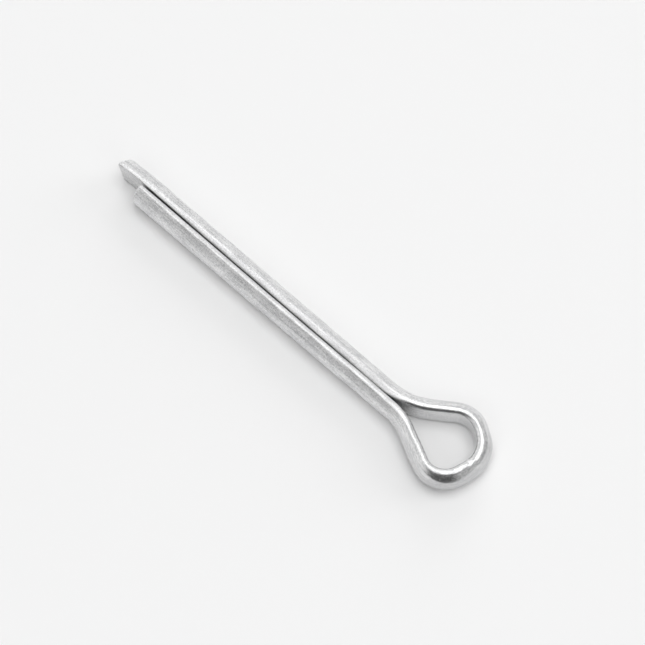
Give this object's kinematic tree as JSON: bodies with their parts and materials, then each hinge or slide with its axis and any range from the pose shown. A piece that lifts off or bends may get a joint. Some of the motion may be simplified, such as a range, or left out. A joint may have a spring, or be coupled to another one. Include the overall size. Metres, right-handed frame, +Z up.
{
  "type": "cotter pin",
  "caption": "Split cotter pin folded from half-round steel wire, with a teardrop eye and straight legs of unequal length.",
  "frame": {"origin": "on the axis of the round shank, at its end beside the eye, halfway up the lying pin", "axes": "+X along the shank towards the leg tips, +Y from the long leg to the short leg, +Z up, with the pin lying on its side"},
  "size_m": [0.0544, 0.0104, 0.0034],
  "materials": {
    "plated_steel": "bright zinc plated steel wire, satin, with fine drawing lines along the wire"
  },
  "bodies": {
    "root": {"cotter_pin": "plated_steel"}
  },
  "joints": []
}
